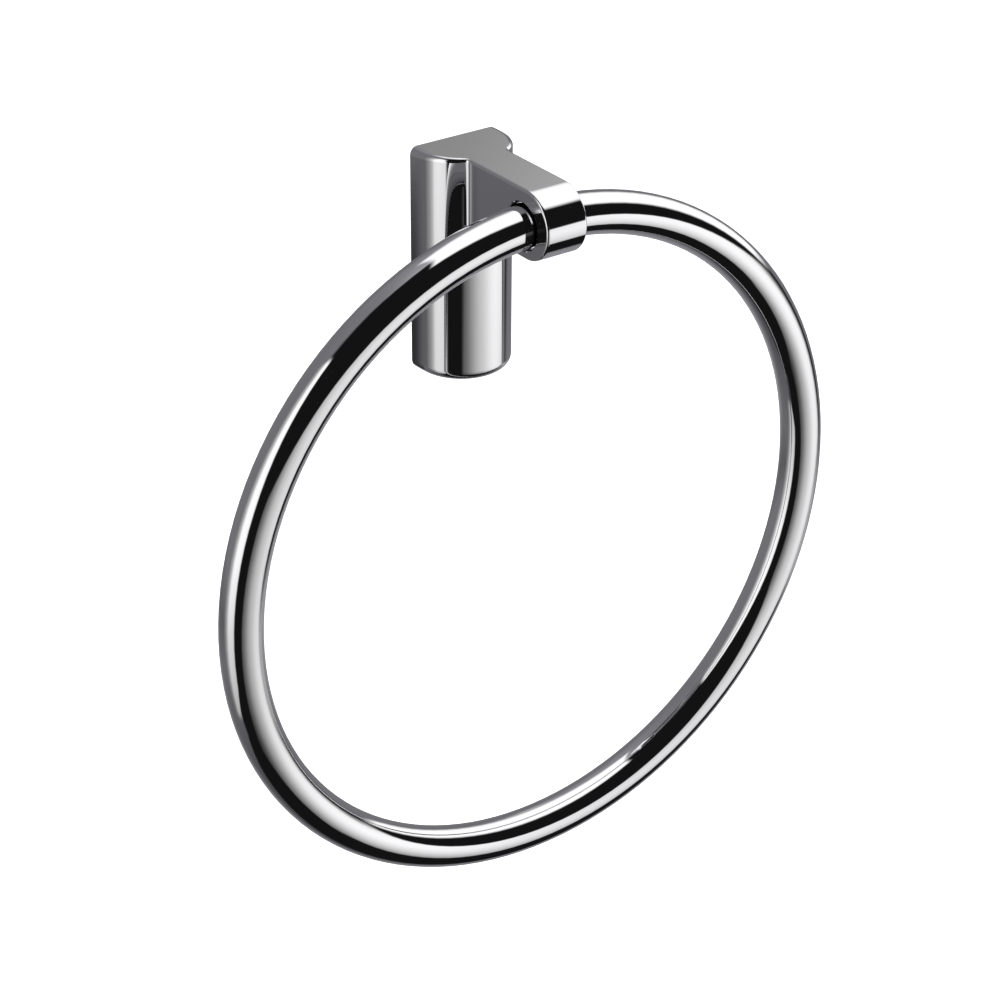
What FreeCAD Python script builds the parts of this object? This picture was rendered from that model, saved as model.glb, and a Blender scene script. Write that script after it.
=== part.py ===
import FreeCAD, Part

import math
import os

from FreeCAD import Vector

# Towel ring for a wall: a cast post with a round-nosed arm, and a closed tube ring hanging in the arm's eye.
# Millimetres, +Z up, +Y into the wall. The origin is on the wall plane, half way up the post.

# Ring
ring_size = 192.0          # diameter of the circle through the middle of the tube
tube_diameter = 12.0
tube_wall = 1.2
seam_gap = 0.1             # hairline where the tube's two ends meet, inside the eye
spigot_length = 40.0       # curved rod inside the tube, across the seam
spigot_clearance = 0.05

# Post
post_width = 28.5          # at the wall, where its sides stand square to it
post_depth = 17.65
post_front_radius = 14.0   # in plan; the sides are much flatter arcs that run on from it
post_height = 66.1
post_top_round = 2.3       # at the wall, where the top edge is softest
post_front_round = 0.9     # and where the top edge meets the arm
post_bottom_round = 3.0

# Arm and eye
ring_projection = 40.6     # from the wall to the middle of the tube
arm_width = 13.0
arm_height = 19.6
nose_forward = 1.85        # the round end's centre lies this far in front of the eye's centre
eye_drop = 0.95            # and this far above it, at half the arm's height
arm_edge_round = 0.75
root_round = 1.9           # hollow corner where the arm leaves the post
eye_clearance = 0.7        # between the tube and the eye, all round
eye_chamfer = 0.3

# Hollow back of the post
post_wall = 2.8
end_wall = 4.0             # top and bottom walls, thick enough for the screw's thread
hollow_round = 1.2
lip_width = 16.0           # rib inside the top of the hollow, hooked behind the bracket's tongue
lip_thickness = 2.5
lip_drop = 4.0

# Wall bracket, one bent strip
bracket_width = 18.0
bracket_thickness = 2.0
bracket_corner = 3.0
bend_round = 0.8
hole_spacing = 30.0
hole_diameter = 4.8
hook_gap = 0.2             # between the tongue and the lip
tongue_gap = 0.3           # between the tongue's end and the hollow's roof
foot_gap = 0.4             # between the foot's end and the hollow's floor

# Grub screw, upwards through the bottom wall
screw_diameter = 4.0
screw_length = 6.0
screw_recess = 0.5         # its socket end lies this far inside the bottom face
screw_from_wall = 4.0
screw_slack = 0.05         # between the thread's crests and the tapped hole, and at the point
socket_across_flats = 2.0
socket_depth = 2.2

# Places that several pieces share
front_center = Vector(0, post_front_radius - post_depth, 0)
side_radius = (
    ((post_width / 2) ** 2 + front_center.y ** 2 - post_front_radius ** 2)
    / (post_width - 2 * post_front_radius)
)
top_z = post_height / 2
bottom_z = -post_height / 2
arm_middle_z = top_z - arm_height / 2
eye_z = arm_middle_z - eye_drop
arm_bottom_z = top_z - arm_height
eye_y = -ring_projection
ring_radius = ring_size / 2
ring_center = Vector(0, eye_y, eye_z - ring_radius)
eye_radius = tube_diameter / 2 + eye_clearance
hollow_top_z = top_z - end_wall
hollow_bottom_z = bottom_z + end_wall
lip_bottom_z = hollow_top_z - lip_drop
screw_tip_z = bottom_z + screw_recess + screw_length


def line(a, b):
    return Part.LineSegment(a, b).toShape()


def closed_face(edges):
    return Part.Face(Part.Wire(Part.__sortEdges__(edges)))


def polygon(points):
    return Part.Face(Part.makePolygon(points + points[:1]))


def in_runs(ends):
    # Turns each edge to the direction of the first edge of its run, because the rounding goes along whole runs.
    turned = {}
    while ends:
        number = min(ends)
        start, end = turned[number] = ends.pop(number)
        growing = True
        while growing:
            growing = False
            for other, (a, b) in list(ends.items()):
                for p, q in ((a, b), (b, a)):
                    after = p.distanceToPoint(end) < 1e-5
                    before = q.distanceToPoint(start) < 1e-5
                    if other in ends and (after or before):
                        turned[other] = (p, q)
                        ends.pop(other)
                        start, end = (start, q) if after else (p, end)
                        growing = True
    return turned


def round_edges(shape, radius_at):
    # Rounds the edges for which radius_at gives a radius at both ends, and lets it change along an edge.
    document = FreeCAD.newDocument("rounding")
    base = document.addObject("Part::Feature", "base")
    base.Shape = shape
    ends = {}
    for number, edge in enumerate(base.Shape.Edges, 1):
        start = edge.valueAt(edge.FirstParameter)
        end = edge.valueAt(edge.LastParameter)
        if edge.Orientation == "Reversed":
            start, end = end, start
        middle = edge.valueAt((edge.FirstParameter + edge.LastParameter) / 2)
        if radius_at(middle, edge) is not None:
            ends[number] = (start, end)
    edges = dict(enumerate(base.Shape.Edges, 1))
    fillet = document.addObject("Part::Fillet", "fillet")
    fillet.Base = base
    fillet.Edges = [
        (number, radius_at(start, edges[number]), radius_at(end, edges[number]))
        for number, (start, end) in in_runs(ends).items()
    ]
    document.recompute()
    rounded = fillet.Shape.copy()
    FreeCAD.closeDocument(document.Name)
    return rounded


def d_side(side, inset):
    # One flat arc of the plan, from the wall to where the front arc takes over. Returns it and that point.
    center = Vector(side * (post_width / 2 - side_radius), 0, 0)
    outward = (front_center - center).normalize()
    half_way = (outward + Vector(side, 0, 0)).normalize()
    radius = side_radius - inset
    end = center + outward * radius
    return Part.Arc(center + Vector(side * radius, 0, 0), center + half_way * radius, end).toShape(), end


def d_section(inset):
    # Plan of the post, or of its hollow: flat on the wall, slightly bowed sides, round front.
    half_width = post_width / 2 - inset
    left, left_end = d_side(-1, inset)
    right, right_end = d_side(1, inset)
    front = front_center - Vector(0, post_front_radius - inset, 0)
    return closed_face([
        line(Vector(-half_width, 0, 0), Vector(half_width, 0, 0)),
        left,
        Part.Arc(left_end, front, right_end).toShape(),
        right,
    ])


def head_section():
    # Plan of the post's head with the arm, and a hollow round in each corner between them.
    half_arm = arm_width / 2
    tip_y = eye_y - nose_forward - arm_height / 2
    root_x = half_arm + root_round
    root_y = front_center.y - math.sqrt((post_front_radius + root_round) ** 2 - root_x ** 2)
    edges = [line(Vector(-post_width / 2, 0, 0), Vector(post_width / 2, 0, 0))]
    for side in (-1, 1):
        flat_side, side_end = d_side(side, 0)
        center = Vector(side * root_x, root_y, 0)
        to_root = (center - front_center).normalize()
        touch = front_center + to_root * post_front_radius
        half_way = ((side_end - front_center).normalize() + to_root).normalize()
        root_end = Vector(side * half_arm, root_y, 0)
        inward = ((touch - center).normalize() + Vector(-side, 0, 0)).normalize()
        tip = Vector(side * half_arm, tip_y, 0)
        edges += [
            flat_side,
            Part.Arc(side_end, front_center + half_way * post_front_radius, touch).toShape(),
            Part.Arc(touch, center + inward * root_round, root_end).toShape(),
            line(root_end, tip),
        ]
    edges.append(line(Vector(-half_arm, tip_y, 0), Vector(half_arm, tip_y, 0)))
    return closed_face(edges), touch.y


def nose_profile():
    # Side view of the head: straight top and underside, full round end.
    nose_y = eye_y - nose_forward
    top, bottom = Vector(0, nose_y, top_z), Vector(0, nose_y, arm_bottom_z)
    tip = Vector(0, nose_y - arm_height / 2, arm_middle_z)
    return closed_face([
        line(Vector(0, 0, arm_bottom_z), Vector(0, 0, top_z)),
        line(Vector(0, 0, top_z), top),
        Part.Arc(top, tip, bottom).toShape(),
        line(bottom, Vector(0, 0, arm_bottom_z)),
    ])


def head():
    # Upper part of the casting, as high as the arm, with every outer edge rounded.
    plan, root_y = head_section()
    block = plan.extrude(Vector(0, 0, arm_height))
    block.translate(Vector(0, 0, arm_bottom_z))
    profile = nose_profile()
    profile.translate(Vector(-post_width, 0, 0))
    block = block.common(profile.extrude(Vector(2 * post_width, 0, 0))).removeSplitter()

    def radius_at(point, edge):
        box = edge.BoundBox
        on_back = box.YMin > -1e-6
        upright = box.XLength < 1e-6 and box.YLength < 1e-6
        across = box.XLength > arm_width - 1e-3 and box.YLength < 1e-6
        if on_back or upright or across:
            return None
        on_post_top = box.ZMin > top_z - 1e-6 and point.y > root_y - 1e-3
        if not on_post_top:
            return arm_edge_round
        return post_top_round + (post_front_round - post_top_round) * point.y / root_y

    return round_edges(block, radius_at)


def stem():
    # Lower part of the post, which runs on inside the head.
    height = arm_bottom_z - bottom_z + arm_height / 2
    block = d_section(0).extrude(Vector(0, 0, height))
    block.translate(Vector(0, 0, bottom_z))
    rim = [e for e in block.Edges if e.BoundBox.ZMax < bottom_z + 1e-6 and e.BoundBox.YMin < -1e-6]
    return block.makeFillet(post_bottom_round, rim)


def hollow():
    # Space inside the back of the post, less the lip under its roof.
    inner = d_section(post_wall)
    inner.translate(Vector(0, 0, hollow_bottom_z))
    space = inner.extrude(Vector(0, 0, hollow_top_z - hollow_bottom_z))
    ends = [e for e in space.Edges if e.BoundBox.ZLength < 1e-6 and e.BoundBox.YMin < -1e-6]
    space = space.makeFillet(hollow_round, ends)
    lip = Part.makeBox(lip_width, lip_thickness, lip_drop,
                       Vector(-lip_width / 2, -lip_thickness, lip_bottom_z))
    return space.cut(lip)


def eye_cutter():
    # Bore across the arm, with a small chamfer at each mouth.
    half_arm = arm_width / 2
    bore = Part.makeCylinder(eye_radius, arm_width, Vector(-half_arm, eye_y, eye_z), Vector(1, 0, 0))
    mouths = [
        Part.makeCone(eye_radius + eye_chamfer, eye_radius, eye_chamfer,
                      Vector(side * half_arm, eye_y, eye_z), Vector(-side, 0, 0))
        for side in (-1, 1)
    ]
    return bore.fuse(mouths)


def post_and_arm():
    casting = head().fuse(stem()).removeSplitter()
    tapped_hole = Part.makeCylinder(screw_diameter / 2, end_wall, Vector(0, -screw_from_wall, bottom_z))
    for cutter in (hollow(), eye_cutter(), tapped_hole):
        casting = casting.cut(cutter)
    return casting


def wall_bracket():
    # Side view of the strip: tongue, bend, flat against the wall, sloping foot.
    # The foot's underside slopes as the screw's point does, so tightening draws the post to the wall.
    t = bracket_thickness
    slant = t * math.sqrt(2)
    bend = slant - t
    reach = lip_thickness + hook_gap
    tongue_end = hollow_top_z - tongue_gap
    bend_z = lip_bottom_z - reach
    foot_z = screw_tip_z + screw_from_wall + screw_slack * math.sqrt(2)
    foot_end = hollow_bottom_z + foot_gap
    foot_reach = foot_z - foot_end
    outline = [
        (-reach, tongue_end), (-reach, bend_z + reach), (0, bend_z),
        (0, foot_z), (-foot_reach, foot_end), (-foot_reach - slant, foot_end),
        (-t, foot_z + bend), (-t, bend_z - bend),
        (-reach - t, bend_z + reach - bend), (-reach - t, tongue_end),
    ]
    half_width = bracket_width / 2
    strip = polygon([Vector(-half_width, y, z) for y, z in outline]).extrude(Vector(bracket_width, 0, 0))
    across = [e for e in strip.Edges if e.BoundBox.XLength > bracket_width - 1e-3]
    bends = [e for e in across if foot_end + 1e-3 < e.BoundBox.ZMin < tongue_end - 1e-3]
    strip = strip.makeFillet(bend_round, bends)
    corners = [e for e in strip.Edges
               if e.BoundBox.ZMin > tongue_end - 1e-3 and e.BoundBox.XLength < 1e-6]
    strip = strip.makeFillet(bracket_corner, corners)
    for side in (-1, 1):
        hole = Part.makeCylinder(hole_diameter / 2, t, Vector(0, -t, side * hole_spacing / 2), Vector(0, 1, 0))
        strip = strip.cut(hole)
    return strip


def grub_screw():
    # Headless screw with a right-angled cone point and a hexagon socket in its lower end.
    radius = screw_diameter / 2 - screw_slack
    base = Vector(0, -screw_from_wall, screw_tip_z - screw_length)
    shank = Part.makeCylinder(radius, screw_length - radius, base)
    point = Part.makeCone(radius, 0, radius, base + Vector(0, 0, screw_length - radius))
    corner = socket_across_flats / math.sqrt(3)
    hexagon = polygon([
        base + Vector(corner * math.cos(math.radians(a)), corner * math.sin(math.radians(a)), 0)
        for a in range(0, 360, 60)
    ])
    return shank.fuse(point).removeSplitter().cut(hexagon.extrude(Vector(0, 0, socket_depth)))


def arc_of_ring(section, degrees):
    # Sweeps a section that stands at the top of the ring round the ring, half of the way to each side.
    axis = Vector(0, 1, 0)
    section.rotate(ring_center, axis, -degrees / 2)
    return section.revolve(ring_center, axis, degrees)


def ring_section(radius):
    top = ring_center + Vector(0, 0, ring_radius)
    return Part.Face(Part.Wire(Part.makeCircle(radius, top, Vector(1, 0, 0))))


def ring_tube():
    # Bent tube, closed but for the seam, which is at the top and so inside the eye.
    outer = tube_diameter / 2
    section = ring_section(outer).cut(ring_section(outer - tube_wall))
    seam = math.degrees(seam_gap / ring_radius)
    tube = arc_of_ring(section, 360 - seam)
    tube.rotate(ring_center, Vector(0, 1, 0), 180)
    return tube


def ring_joint_spigot():
    radius = tube_diameter / 2 - tube_wall - spigot_clearance
    return arc_of_ring(ring_section(radius), math.degrees(spigot_length / ring_radius))


pieces = {
    "post_and_arm": post_and_arm(),
    "wall_bracket": wall_bracket(),
    "grub_screw": grub_screw(),
    "ring_tube": ring_tube(),
    "ring_joint_spigot": ring_joint_spigot(),
}

os.makedirs("parts", exist_ok=True)
for node, shape in pieces.items():
    shape.exportStep("parts/" + node + ".step")
    print(node, "valid" if shape.isValid() else "not valid", len(shape.Solids), "solid", round(shape.Volume, 1))
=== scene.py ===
import math

import bmesh
import bpy
from mathutils import Matrix, Vector


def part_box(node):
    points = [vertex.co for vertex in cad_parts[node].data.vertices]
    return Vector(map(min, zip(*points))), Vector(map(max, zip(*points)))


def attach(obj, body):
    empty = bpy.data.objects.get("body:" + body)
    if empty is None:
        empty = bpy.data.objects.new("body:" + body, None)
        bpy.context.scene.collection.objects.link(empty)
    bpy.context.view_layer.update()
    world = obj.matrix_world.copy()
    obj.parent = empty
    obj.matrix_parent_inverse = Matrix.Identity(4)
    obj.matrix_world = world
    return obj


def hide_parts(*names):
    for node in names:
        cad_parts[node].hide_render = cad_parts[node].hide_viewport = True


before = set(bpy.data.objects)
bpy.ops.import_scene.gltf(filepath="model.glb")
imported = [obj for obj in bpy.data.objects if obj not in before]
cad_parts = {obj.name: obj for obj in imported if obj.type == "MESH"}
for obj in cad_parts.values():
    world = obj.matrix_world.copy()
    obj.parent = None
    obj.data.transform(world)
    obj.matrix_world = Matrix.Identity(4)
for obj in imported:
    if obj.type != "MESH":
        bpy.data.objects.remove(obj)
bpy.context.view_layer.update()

# Towel ring in polished chrome, in a small photo studio of soft cards round it. Metres, +Y into the wall.

# Camera: where it stands, seen from the middle of the ring, and where that middle lies in the picture
view_azimuth = -35.749       # degrees from straight in front, towards the left
view_elevation = 28.401
view_roll = 0.379
ring_middle_depth = 0.82105
focal_pixels = 2949.27
picture_size = 1000
ring_middle_pixel = (537.325, 539.727)

# Studio: bright cards stand round the ring in a dark room that is grey behind the wall
card_distance = 1.2
card_steps = 60              # along a bent card
card_shift = 1.3             # x + z all over the right softbox, from the ring's middle
reflector_gap = 0.02         # how much more that is for the back reflector
right_softbox_level = 1.26
tail_level = 0.45            # the least that the front table's grey tail gives
chrome_colour = (0.80, 0.798, 0.81)
dark_level = 0.008
matt_level = 0.6             # what matt surfaces get
room_colour = (1.0, 0.98, 1.05)
ground_colour = (0.9, 0.9, 0.9)
floor_level = -1.9
floor_half_size = 6.0

# Grub screw
thread_pitch = 0.0007
thread_crest = 0.00193
thread_root = 0.00152
thread_bite = 0.00005        # how far the rib's root reaches into the core
thread_foot_share = 0.88     # of the pitch, at the rib's foot
thread_crest_share = 0.15    # of that, at its flat crest
thread_steps = 36            # round one turn
core_steps = 48              # round the core, in six equal sides at the socket
socket_corner = 0.002 / math.sqrt(3)
socket_depth = 0.0022
point_flat = 0.0001          # radius of the small flat on the cone point
thread_start = 0.0001        # height of the rib's lower end, above the screw's
sharp_angle = 32             # degrees between faces, past which an edge is drawn sharp

ring_low, ring_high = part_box("ring_tube")
ring_middle = (ring_low + ring_high) / 2
tube_radius = (ring_high.y - ring_low.y) / 2
ring_radius = (ring_high.x - ring_low.x) / 2 - tube_radius


def link(obj):
    bpy.context.scene.collection.objects.link(obj)
    return obj


def add_node(tree, kind, **settings):
    node = tree.nodes.new(kind)
    for key, value in settings.items():
        setattr(node, key, value)
    return node


def feed(tree, socket, value):
    if isinstance(value, bpy.types.NodeSocket):
        tree.links.new(value, socket)
    else:
        socket.default_value = value


def maths(tree, operation, first, second=0.0):
    node = add_node(tree, "ShaderNodeMath", operation=operation)
    feed(tree, node.inputs[0], first)
    feed(tree, node.inputs[1], second)
    return node.outputs[0]


def mapped(tree, value, start, end, low=0.0, high=1.0, kind="LINEAR"):
    node = add_node(tree, "ShaderNodeMapRange", interpolation_type=kind)
    items = {"Value": value, "From Min": start, "From Max": end, "To Min": low, "To Max": high}
    for name, item in items.items():
        feed(tree, node.inputs[name], item)
    return node.outputs["Result"]


def step_up(tree, value, place, width):
    # Soft step from 0 to 1, with its middle at a place that may be a socket.
    return mapped(tree, maths(tree, "SUBTRACT", value, place), -width / 2, width / 2, kind="SMOOTHSTEP")


def step_down(tree, value, place, width):
    return maths(tree, "SUBTRACT", 1.0, step_up(tree, value, place, width))


def product(tree, factors):
    total = factors[0]
    for factor in factors[1:]:
        total = maths(tree, "MULTIPLY", total, factor)
    return total


def blend(tree, first, second, share):
    change = maths(tree, "SUBTRACT", second, first)
    return maths(tree, "ADD", first, maths(tree, "MULTIPLY", change, share))


def ramp(tree, value, stops):
    # Level between stops of (place, level); levels may pass 1.
    peak = max(level for place, level in stops)
    first, last = stops[0][0], stops[-1][0]
    node = add_node(tree, "ShaderNodeValToRGB")
    node.color_ramp.interpolation = "LINEAR"
    elements = node.color_ramp.elements
    while len(elements) < len(stops):
        elements.new(0.5)
    for element, (place, level) in zip(elements, stops):
        element.position = (place - first) / (last - first)
    for element, (place, level) in zip(elements, stops):
        element.color = (level / peak, level / peak, level / peak, 1)
    feed(tree, node.inputs[0], mapped(tree, value, first, last))
    return maths(tree, "MULTIPLY", node.outputs["Color"], peak)


# Shader groups that several finishes share

def new_group(name, inputs, outputs):
    group = bpy.data.node_groups.new(name, "ShaderNodeTree")
    for socket, kind, value in inputs:
        item = group.interface.new_socket(socket, in_out="INPUT", socket_type=kind)
        if value is not None:
            item.default_value = value
    for socket, kind in outputs:
        group.interface.new_socket(socket, in_out="OUTPUT", socket_type=kind)
    start = group.nodes.new("NodeGroupInput")
    end = group.nodes.new("NodeGroupOutput")
    return group, start.outputs, end.inputs


def noise(tree, vector, scale, detail, rough):
    node = add_node(tree, "ShaderNodeTexNoise")
    feed(tree, node.inputs["Vector"], vector)
    feed(tree, node.inputs["Scale"], scale)
    feed(tree, node.inputs["Detail"], detail)
    feed(tree, node.inputs["Roughness"], rough)
    return node.outputs["Fac"]


def make_haze():
    # Cloudy change of roughness, as wiping and plating leave it.
    group, get, put = new_group(
        "haze",
        [("Vector", "NodeSocketVector", None), ("Scale", "NodeSocketFloat", 60.0),
         ("Least", "NodeSocketFloat", 0.03), ("Most", "NodeSocketFloat", 0.06)],
        [("Roughness", "NodeSocketFloat")])
    cloud = noise(group, get["Vector"], get["Scale"], 3.0, 0.6)
    feed(group, put["Roughness"], mapped(group, cloud, 0.3, 0.7, get["Least"], get["Most"]))
    return group


def make_ripple():
    # Long low waves that hand polishing leaves, as a height in metres.
    group, get, put = new_group(
        "polishing_ripple",
        [("Vector", "NodeSocketVector", None), ("Scale", "NodeSocketFloat", 90.0),
         ("Depth", "NodeSocketFloat", 1e-6)],
        [("Height", "NodeSocketFloat")])
    wave = noise(group, get["Vector"], get["Scale"], 1.0, 0.4)
    feed(group, put["Height"], maths(group, "MULTIPLY", wave, get["Depth"]))
    return group


def make_lines():
    # Fine lines along the second axis of the vector, as drawing, rolling or turning leaves them.
    group, get, put = new_group(
        "working_lines",
        [("Vector", "NodeSocketVector", None), ("Across", "NodeSocketFloat", 3000.0),
         ("Along", "NodeSocketFloat", 40.0), ("Depth", "NodeSocketFloat", 1e-7)],
        [("Height", "NodeSocketFloat")])
    parts = add_node(group, "ShaderNodeSeparateXYZ")
    feed(group, parts.inputs[0], get["Vector"])
    join = add_node(group, "ShaderNodeCombineXYZ")
    feed(group, join.inputs["X"], maths(group, "MULTIPLY", parts.outputs["X"], get["Across"]))
    feed(group, join.inputs["Y"], maths(group, "MULTIPLY", parts.outputs["Y"], get["Along"]))
    feed(group, join.inputs["Z"], maths(group, "MULTIPLY", parts.outputs["Z"], get["Across"]))
    lines = noise(group, join.outputs[0], 1.0, 2.0, 0.6)
    feed(group, put["Height"], maths(group, "MULTIPLY", lines, get["Depth"]))
    return group


def make_round_the_ring():
    # Turns object coordinates into metres round the tube's section and along the ring.
    group, get, put = new_group(
        "round_the_ring",
        [("Vector", "NodeSocketVector", None), ("Ring Radius", "NodeSocketFloat", ring_radius),
         ("Tube Radius", "NodeSocketFloat", tube_radius)],
        [("Vector", "NodeSocketVector")])
    parts = add_node(group, "ShaderNodeSeparateXYZ")
    feed(group, parts.inputs[0], get["Vector"])
    x, y, z = parts.outputs
    along = maths(group, "ARCTAN2", x, z)
    squares = [maths(group, "POWER", side, 2.0) for side in (x, z)]
    out = maths(group, "SQRT", maths(group, "ADD", *squares))
    section = maths(group, "ARCTAN2", y, maths(group, "SUBTRACT", out, get["Ring Radius"]))
    join = add_node(group, "ShaderNodeCombineXYZ")
    feed(group, join.inputs["X"], product(group, [maths(group, "COSINE", section), get["Tube Radius"]]))
    feed(group, join.inputs["Y"], product(group, [along, get["Ring Radius"]]))
    feed(group, join.inputs["Z"], product(group, [maths(group, "SINE", section), get["Tube Radius"]]))
    feed(group, put["Vector"], join.outputs[0])
    return group


haze = make_haze()
ripple = make_ripple()
lines = make_lines()
round_the_ring = make_round_the_ring()


def place_group(tree, group, **values):
    node = add_node(tree, "ShaderNodeGroup", node_tree=group)
    for name, value in values.items():
        feed(tree, node.inputs[name.replace("_", " ")], value)
    return node


def metal(name, colour):
    # A metal with object coordinates; the caller adds its finish.
    material = bpy.data.materials.new(name)
    material.use_nodes = True
    tree = material.node_tree
    shader = tree.nodes["Principled BSDF"]
    shader.inputs["Base Color"].default_value = (*colour, 1)
    shader.inputs["Metallic"].default_value = 1.0
    place = add_node(tree, "ShaderNodeTexCoord").outputs["Object"]
    return material, tree, shader, place


def centred(tree, place, middle, turn=(0, 0, 0)):
    node = add_node(tree, "ShaderNodeMapping", vector_type="TEXTURE")
    feed(tree, node.inputs["Vector"], place)
    node.inputs["Location"].default_value = middle
    node.inputs["Rotation"].default_value = turn
    return node.outputs[0]


def raise_surface(tree, shader, heights):
    total = heights[0]
    for height in heights[1:]:
        total = maths(tree, "ADD", total, height)
    bump = add_node(tree, "ShaderNodeBump")
    bump.inputs["Distance"].default_value = 1.0
    feed(tree, bump.inputs["Height"], total)
    feed(tree, shader.inputs["Normal"], bump.outputs[0])


def cast_chrome():
    material, tree, shader, place = metal("cast_chrome", chrome_colour)
    wave = place_group(tree, ripple, Vector=place, Scale=95.0, Depth=5e-6)
    cloud = place_group(tree, haze, Vector=place, Scale=70.0, Least=0.02, Most=0.045)
    feed(tree, shader.inputs["Roughness"], cloud.outputs[0])
    raise_surface(tree, shader, [wave.outputs[0]])
    return material


def tube_chrome():
    material, tree, shader, place = metal("tube_chrome", chrome_colour)
    on_ring = place_group(tree, round_the_ring, Vector=centred(tree, place, ring_middle)).outputs[0]
    drawn = place_group(tree, lines, Vector=on_ring, Across=900.0, Along=25.0, Depth=2e-7)
    cloud = place_group(tree, haze, Vector=place, Scale=55.0, Least=0.02, Most=0.04)
    feed(tree, shader.inputs["Roughness"], cloud.outputs[0])
    raise_surface(tree, shader, [drawn.outputs["Height"]])
    return material


def brass():
    material, tree, shader, place = metal("turned_brass", (0.78, 0.60, 0.30))
    on_ring = place_group(tree, round_the_ring, Vector=centred(tree, place, ring_middle)).outputs[0]
    drawn = place_group(tree, lines, Vector=on_ring, Across=4000.0, Along=60.0, Depth=2e-6)
    cloud = place_group(tree, haze, Vector=place, Scale=120.0, Least=0.22, Most=0.4)
    feed(tree, shader.inputs["Roughness"], cloud.outputs[0])
    raise_surface(tree, shader, [drawn.outputs["Height"]])
    return material


def zinc():
    material, tree, shader, place = metal("zinc_plate", (0.62, 0.64, 0.66))
    rolled = place_group(tree, lines, Vector=centred(tree, place, (0, 0, 0), (math.pi / 2, 0, 0)),
                         Across=2500.0, Along=50.0, Depth=3e-6)
    wave = place_group(tree, ripple, Vector=place, Scale=220.0, Depth=6e-6)
    cloud = place_group(tree, haze, Vector=place, Scale=160.0, Least=0.24, Most=0.46)
    feed(tree, shader.inputs["Roughness"], cloud.outputs[0])
    raise_surface(tree, shader, [rolled.outputs["Height"], wave.outputs[0]])
    return material


def stainless():
    material, tree, shader, place = metal("plain_stainless", (0.55, 0.56, 0.58))
    turned = place_group(tree, lines, Vector=place, Across=300.0, Along=6000.0, Depth=1e-6)
    cloud = place_group(tree, haze, Vector=place, Scale=400.0, Least=0.22, Most=0.36)
    feed(tree, shader.inputs["Roughness"], cloud.outputs[0])
    raise_surface(tree, shader, [turned.outputs["Height"]])
    return material


finishes = {
    "post_and_arm": cast_chrome(),
    "ring_tube": tube_chrome(),
    "ring_joint_spigot": brass(),
    "wall_bracket": zinc(),
    "grub_screw": stainless(),
}
for node_name, finish in finishes.items():
    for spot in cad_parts[node_name].material_slots:
        spot.material = finish


# Grub screw with its thread, in place of the plain solid

def add_core(bm, bottom, top):
    # Core under the thread, with a hexagon socket in its lower end and a cone point.
    bmesh.ops.create_circle(bm, segments=6, radius=socket_corner)
    bmesh.ops.subdivide_edges(bm, edges=bm.edges[:], cuts=core_steps // 6 - 1)
    mouth = bm.edges[:]
    bmesh.ops.create_circle(bm, segments=core_steps, radius=thread_root)
    rim_edges = bm.edges[len(mouth):]
    bmesh.ops.bridge_loops(bm, edges=rim_edges + mouth)
    raised = bmesh.ops.extrude_edge_only(bm, edges=mouth)["geom"]
    floor = [e for e in raised if isinstance(e, bmesh.types.BMEdge)]
    roof = [v for v in raised if isinstance(v, bmesh.types.BMVert)]
    bmesh.ops.translate(bm, verts=roof, vec=(0, 0, socket_depth))
    bmesh.ops.holes_fill(bm, edges=floor)
    shoulder = top - bottom - thread_crest
    outline = ((thread_root, shoulder), (thread_crest, shoulder), (point_flat, top - bottom))
    for radius, height in outline:
        raised = bmesh.ops.extrude_edge_only(bm, edges=rim_edges)["geom"]
        rim_edges = [e for e in raised if isinstance(e, bmesh.types.BMEdge)]
        for vert in {v for v in raised if isinstance(v, bmesh.types.BMVert)}:
            flat = Vector((vert.co.x, vert.co.y, 0)).normalized() * radius
            vert.co = (flat.x, flat.y, height)
    bmesh.ops.holes_fill(bm, edges=rim_edges)


def add_thread(bm, height):
    # A rib with a flat crest, wound up the core and cut off level at both ends.
    inner = thread_root - thread_bite
    foot = thread_pitch * thread_foot_share / 2
    crest = foot * thread_crest_share
    spots = [(inner, -foot), (thread_crest, -crest), (thread_crest, crest), (inner, foot)]
    verts = [bm.verts.new((r, 0, z - thread_pitch)) for r, z in spots]
    edges = [bm.edges.new((verts[i], verts[(i + 1) % 4])) for i in range(4)]
    turns = math.ceil(height / thread_pitch) + 2
    bmesh.ops.spin(bm, geom=verts + edges, cent=(0, 0, 0), axis=(0, 0, 1),
                   dvec=(0, 0, thread_pitch / thread_steps),
                   angle=2 * math.pi * turns, steps=thread_steps * turns)
    for level, side in ((thread_start, -1), (height, 1)):
        cut = bmesh.ops.bisect_plane(bm, geom=bm.verts[:] + bm.edges[:] + bm.faces[:],
                                     plane_co=(0, 0, level), plane_no=(0, 0, side),
                                     clear_outer=True)["geom_cut"]
        bmesh.ops.holes_fill(bm, edges=[e for e in cut if isinstance(e, bmesh.types.BMEdge)])


def threaded_grub_screw():
    low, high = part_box("grub_screw")
    middle = (low + high) / 2
    core, rib = bmesh.new(), bmesh.new()
    add_core(core, low.z, high.z)
    add_thread(rib, high.z - low.z - thread_crest)
    mesh = bpy.data.meshes.new("threaded_grub_screw")
    rib.to_mesh(mesh)
    rib.free()
    core.from_mesh(mesh)
    bmesh.ops.translate(core, verts=core.verts, vec=(middle.x, middle.y, low.z))
    bmesh.ops.recalc_face_normals(core, faces=core.faces)
    for face in core.faces:
        face.smooth = True
    core.to_mesh(mesh)
    core.free()
    mesh.set_sharp_from_angle(angle=math.radians(sharp_angle))
    mesh.materials.append(finishes["grub_screw"])
    piece = link(bpy.data.objects.new("threaded_grub_screw", mesh))
    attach(piece, "wall_post")
    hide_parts("grub_screw")


threaded_grub_screw()


# Studio

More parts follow.
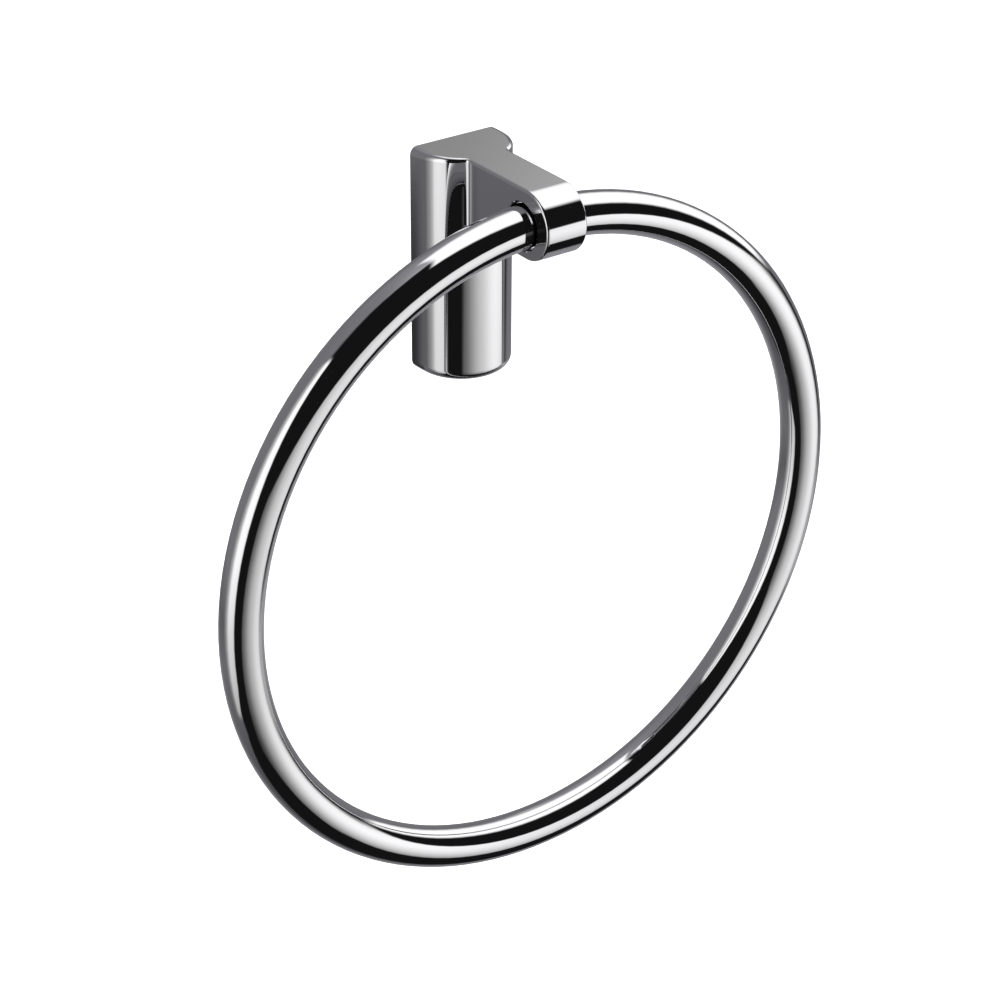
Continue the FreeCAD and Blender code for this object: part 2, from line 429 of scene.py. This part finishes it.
def stand_card(name, bm, look):
    # A glowing card, seen by mirrors only. look gives its level and, for soft edges, how solid it is.
    material = bpy.data.materials.new(name)
    material.use_nodes = True
    material.cycles.emission_sampling = "NONE"
    tree = material.node_tree
    tree.nodes.clear()
    parts = add_node(tree, "ShaderNodeSeparateXYZ")
    feed(tree, parts.inputs[0], add_node(tree, "ShaderNodeTexCoord").outputs["Object"])
    level, solid = look(tree, *parts.outputs)
    lamp = add_node(tree, "ShaderNodeEmission")
    feed(tree, lamp.inputs["Strength"], level)
    edge = add_node(tree, "ShaderNodeMixShader")
    feed(tree, edge.inputs[0], solid)
    tree.links.new(add_node(tree, "ShaderNodeBsdfTransparent").outputs[0], edge.inputs[1])
    tree.links.new(lamp.outputs[0], edge.inputs[2])
    tree.links.new(edge.outputs[0], add_node(tree, "ShaderNodeOutputMaterial").inputs["Surface"])
    mesh = bpy.data.meshes.new(name)
    bm.to_mesh(mesh)
    bm.free()
    mesh.materials.append(material)
    card = bpy.data.objects.new(name, mesh)
    card.location = ring_middle
    card.visible_camera = False
    link(card)


def bent_sheet(start, end, low, high):
    # Upright sheet bent round the ring's middle, between two compass angles and two angles of height.
    bm = bmesh.new()
    heights = [card_distance * math.tan(math.radians(angle)) for angle in (low, high)]
    ends = [bm.verts.new((0, -card_distance, height)) for height in heights]
    edge = bm.edges.new(ends)
    bmesh.ops.rotate(bm, verts=ends, cent=(0, 0, 0), matrix=Matrix.Rotation(math.radians(start), 3, "Z"))
    bmesh.ops.spin(bm, geom=[*ends, edge], cent=(0, 0, 0), axis=(0, 0, 1),
                   angle=math.radians(end - start), steps=card_steps)
    return bm


def compass(tree, x, y, z):
    # Degrees round from straight in front of the wall, and degrees up.
    turn = maths(tree, "ARCTAN2", x, maths(tree, "MULTIPLY", y, -1.0))
    rise = maths(tree, "ARCTAN2", z, card_distance)
    return [maths(tree, "MULTIPLY", angle, 180 / math.pi) for angle in (turn, rise)]


def left_softbox(tree, x, y, z):
    # Whitest towards the front, fading to the back and downwards. Its front edge leans back higher up.
    turn, rise = compass(tree, x, y, z)
    lean = maths(tree, "MULTIPLY", maths(tree, "MAXIMUM", maths(tree, "SUBTRACT", rise, 8.0), 0.0), -0.26)
    top = maths(tree, "MULTIPLY", maths(tree, "MINIMUM", maths(tree, "ADD", turn, 98.0), 0.0), 0.25)
    corner = maths(tree, "MULTIPLY", maths(tree, "MAXIMUM", maths(tree, "ADD", turn, 85.0), 0.0), 0.55)
    round_it = ramp(tree, turn, [
        (-124, 0.25), (-116, 0.34), (-110, 0.48), (-104, 0.73), (-98, 1.18), (-90, 1.26), (-80, 1.22),
        (-73, 1.17), (-64, 1.0)])
    up_it = ramp(tree, rise, [
        (-50, 0.42), (-45, 0.44), (-35, 0.58), (-25, 0.68), (-15, 0.83), (-5, 0.95), (10, 1.0), (54, 0.98)])
    solid = product(tree, [
        step_up(tree, turn, -120.9, 9.8), step_down(tree, turn, maths(tree, "ADD", lean, -69.5), 7.0),
        step_up(tree, rise, maths(tree, "SUBTRACT", corner, 47.0), 3.7),
        step_down(tree, rise, maths(tree, "ADD", top, 51.0), 3.0)])
    return product(tree, [round_it, up_it]), solid


def front_table(tree, x, y, z):
    # Pale card below and in front: grey on the left, white on the right, its lower edge cut up to the
    # right. Its right end bulges out half way up, and a grey tail runs on from it lower down.
    turn, rise = compass(tree, x, y, z)
    cut = ramp(tree, turn, [
        (-38, 8), (17, 8.5), (22, 11.5), (34, 12.5), (38, 14.8), (44, 18), (50, 20.5), (56, 22), (62, 24.5),
        (94, 24.5)])
    tail = product(tree, [
        step_up(tree, rise, -37.5, 4.0), step_down(tree, rise, -25.0, 8.0), step_up(tree, turn, 66.0, 14.0)])
    bulge = product(tree, [
        step_up(tree, rise, -25.0, 5.0), step_down(tree, rise, -8.0, 8.0), step_up(tree, turn, 60.0, 12.0)])
    round_it = ramp(tree, maths(tree, "SUBTRACT", turn, maths(tree, "MULTIPLY", bulge, 4.5)), [
        (-38, 0.12), (-30, 0.15), (-25, 0.18), (-15, 0.32), (-5, 0.50), (5, 0.67), (15, 0.79), (25, 0.94),
        (35, 1.1), (45, 1.2), (55, 1.2), (65, 1.06), (70, 0.68), (76, 0.34), (80, 0.17), (90, 0.17)])
    up_it = ramp(tree, rise, [
        (-54, 0.29), (-48, 0.32), (-42, 0.51), (-35, 0.69), (-25, 0.88), (-15, 1.0), (4, 1.0)])
    right = maths(tree, "ADD", maths(tree, "MULTIPLY", tail, 11.0), 81.9)
    solid = product(tree, [
        step_up(tree, turn, -32.4, 9.1), step_down(tree, turn, right, 10.9),
        step_up(tree, maths(tree, "SUBTRACT", rise, cut), -60.0, 4.0), step_down(tree, rise, 0.0, 4.5)])
    grey = maths(tree, "MULTIPLY", tail, tail_level)
    return maths(tree, "MAXIMUM", product(tree, [round_it, up_it]), grey), solid


def right_softbox(tree, x, y, z):
    # Large box that leans from low on the right to overhead, and fades towards the wall.
    front = ramp(tree, z, [
        (0, 0.12), (0.3, 0.21), (0.5, 0.26), (0.66, 0.34), (0.8, 0.395), (0.95, 0.45), (1.1, 0.47),
        (1.4, 0.475)])
    back = ramp(tree, z, [(0, 0.42), (0.2, 0.49), (0.3, 0.56), (0.5, 0.60), (0.8, 0.70), (1.2, 0.80)])
    solid = product(tree, [
        step_up(tree, maths(tree, "ADD", y, front), 0.0, 0.2), step_down(tree, y, back, 0.42),
        step_up(tree, z, 0.02, 0.13), step_down(tree, z, 1.37, 0.07)])
    return right_softbox_level, solid


def back_reflector(tree, x, y, z):
    # Pale panel beyond the right softbox, which the flat top of the arm sees.
    level = ramp(tree, y, [(0.7, 0.55), (0.93, 0.51), (0.96, 0.43), (1.0, 0.38), (1.06, 0.32), (1.2, 0.24)])
    solid = product(tree, [
        step_up(tree, y, 0.82, 0.2), step_down(tree, y, 1.2, 0.16),
        step_up(tree, z, 0.54, 0.08), step_down(tree, z, 0.74, 0.22)])
    return level, solid


def painted_wall_shade(tree, x, y, z):
    # Painted shade: a dark sheet on the wall close to the post, which the post's left side sees in its
    # reflection, more of it lower down.
    from_left = ramp(tree, x, [
        (-0.0262, 0.0), (-0.0242, 0.3), (-0.0212, 0.72), (-0.0195, 0.8), (-0.014, 0.82)])
    upwards = ramp(tree, z, [
        (0.03, 1.0), (0.052, 1.0), (0.072, 0.85), (0.086, 0.6), (0.093, 0.35), (0.1, 0.0)])
    return dark_level, product(tree, [from_left, upwards])


def flat_sheet(corners):
    bm = bmesh.new()
    bm.faces.new([bm.verts.new(corner) for corner in corners])
    return bm


def leaning_sheet(shift, near, far, low, high):
    # Flat sheet along the plane x + z = shift.
    corners = ((near, low), (far, low), (far, high), (near, high))
    return flat_sheet([(shift - z, y, z) for y, z in corners])


def upright_sheet(depth, left, right, low, high):
    corners = ((left, low), (right, low), (right, high), (left, high))
    return flat_sheet([(x, depth, z) for x, z in corners])


stand_card("left_softbox", bent_sheet(start=-128, end=-62, low=-52, high=54), left_softbox)
stand_card("front_table", bent_sheet(start=-38, end=99, low=-56, high=4), front_table)
stand_card("right_softbox", leaning_sheet(card_shift, near=-0.7, far=1.1, low=-0.08, high=1.45),
           right_softbox)
stand_card("back_reflector",
           leaning_sheet(card_shift + reflector_gap, near=0.45, far=1.35, low=0.3, high=1.2),
           back_reflector)
# Dark sheet of painted shade beside the post, seen in the post's left side.
stand_card("painted_wall_shade", upright_sheet(depth=0.0466, left=-0.0262, right=-0.014, low=0.03, high=0.1),
           painted_wall_shade)


def white_ground():
    # White to the camera, with a little of its own shade.
    material = bpy.data.materials.new("white_ground")
    material.use_nodes = True
    tree = material.node_tree
    tree.nodes.clear()
    matt = add_node(tree, "ShaderNodeBsdfDiffuse")
    matt.inputs["Color"].default_value = (*ground_colour, 1)
    glow = add_node(tree, "ShaderNodeEmission")
    both = add_node(tree, "ShaderNodeAddShader")
    tree.links.new(matt.outputs[0], both.inputs[0])
    tree.links.new(glow.outputs[0], both.inputs[1])
    tree.links.new(both.outputs[0], add_node(tree, "ShaderNodeOutputMaterial").inputs["Surface"])
    return material


def lay_floor():
    bm = bmesh.new()
    bmesh.ops.create_grid(bm, x_segments=1, y_segments=1, size=floor_half_size)
    bmesh.ops.translate(bm, verts=bm.verts, vec=(0, 0, floor_level))
    mesh = bpy.data.meshes.new("floor")
    bm.to_mesh(mesh)
    bm.free()
    mesh.materials.append(white_ground())
    floor = bpy.data.objects.new("floor", mesh)
    floor.visible_glossy = False
    link(floor)


lay_floor()


def light_world():
    # White to the camera and pale to matt surfaces. Mirrors see a room that is dark in front and grey
    # behind the wall, with a soft line between, on its left and on its right at each height.
    world = bpy.data.worlds.new("studio")
    bpy.context.scene.world = world
    world.use_nodes = True
    world.cycles.sampling_method = "NONE"
    tree = world.node_tree
    shade = tree.nodes["Background"]
    parts = add_node(tree, "ShaderNodeSeparateXYZ")
    feed(tree, parts.inputs[0], add_node(tree, "ShaderNodeTexCoord").outputs["Generated"])
    x, y, z = parts.outputs
    side = step_up(tree, x, -0.02, 0.69)
    left = ramp(tree, z, [
        (-1, 0.036), (-0.93, 0.077), (-0.82, 0.117), (-0.57, 0.17), (-0.42, 0.125), (-0.25, 0.2),
        (0.5, 0.19), (0.7, 0.204), (0.93, 0.22), (0.97, 0.25), (0.99, 0.34), (1, 0.42)])
    right = ramp(tree, z, [
        (-1, 0.045), (-0.93, 0.2), (-0.82, 0.28), (-0.7, 0.3), (-0.57, 0.37), (-0.42, 0.19), (-0.25, 0.2),
        (0.1, 0.19), (0.26, 0.175), (0.42, 0.225), (0.57, 0.28), (0.71, 0.32), (0.82, 0.36), (0.906, 0.48),
        (0.95, 0.55), (1, 0.49)])
    left_line = ramp(tree, z, [
        (-1, 0.24), (-0.9, 0.24), (-0.84, 0.12), (-0.81, 0.03), (-0.5, 0.05), (0.5, 0.18), (0.82, 0.205),
        (0.93, 0.165), (0.98, 0.09), (1, 0.08)])
    right_line = ramp(tree, z, [
        (-1, 0.2), (-0.87, 0.15), (-0.77, 0.1), (-0.57, 0.0), (-0.45, 0.05), (-0.34, 0.2), (0, 0.155),
        (1, 0.155)])
    grey = blend(tree, left, right, side)
    line = blend(tree, left_line, right_line, side)
    soft = ramp(tree, z, [(-1, 0.14), (-0.8, 0.18), (-0.6, 0.3), (0.8, 0.3), (0.98, 0.13), (1, 0.13)])
    past = maths(tree, "SUBTRACT", maths(tree, "ADD", y, 0.1), line)
    ends = [maths(tree, "MULTIPLY", soft, share) for share in (-0.5, 0.5)]
    behind = mapped(tree, past, *ends, kind="SMOOTHSTEP")
    mirrored = maths(tree, "MAXIMUM", maths(tree, "MULTIPLY", grey, behind), dark_level)
    path = add_node(tree, "ShaderNodeLightPath")
    glossy = maths(tree, "MULTIPLY", path.outputs["Is Glossy Ray"], mirrored)
    tint = add_node(tree, "ShaderNodeMix", data_type="RGBA")
    feed(tree, tint.inputs[0], path.outputs["Is Glossy Ray"])
    tint.inputs[6].default_value = (1, 1, 1, 1)
    tint.inputs[7].default_value = (*room_colour, 1)
    tree.links.new(tint.outputs[2], shade.inputs["Color"])
    seen = maths(tree, "MAXIMUM", path.outputs["Is Camera Ray"], path.outputs["Is Transmission Ray"])
    matt = maths(tree, "MULTIPLY", path.outputs["Is Diffuse Ray"], matt_level)
    plain = maths(tree, "MAXIMUM", seen, matt)
    feed(tree, shade.inputs["Strength"], maths(tree, "MAXIMUM", plain, glossy))


light_world()


def set_camera():
    turn, tilt = math.radians(view_azimuth), math.radians(view_elevation)
    back = Vector((math.sin(turn) * math.cos(tilt), -math.cos(turn) * math.cos(tilt), math.sin(tilt)))
    right = Vector((0, 0, 1)).cross(back).normalized()
    up = back.cross(right)
    roll = math.radians(view_roll)
    level_right = right * math.cos(roll) + up * math.sin(roll)
    level_up = up * math.cos(roll) - right * math.sin(roll)
    half = picture_size / 2
    across = (ring_middle_pixel[0] - half) / focal_pixels * ring_middle_depth
    down = (ring_middle_pixel[1] - half) / focal_pixels * ring_middle_depth
    place = ring_middle + back * ring_middle_depth - level_right * across + level_up * down
    data = bpy.data.cameras.new("camera")
    data.sensor_width = 36.0
    data.lens = focal_pixels * data.sensor_width / picture_size
    data.clip_start = 0.01
    camera = link(bpy.data.objects.new("camera", data))
    turned = Matrix((level_right, level_up, back)).transposed()
    camera.matrix_world = Matrix.Translation(place) @ turned.to_4x4()
    bpy.context.scene.camera = camera


set_camera()
bpy.context.scene.view_settings.view_transform = "Standard"
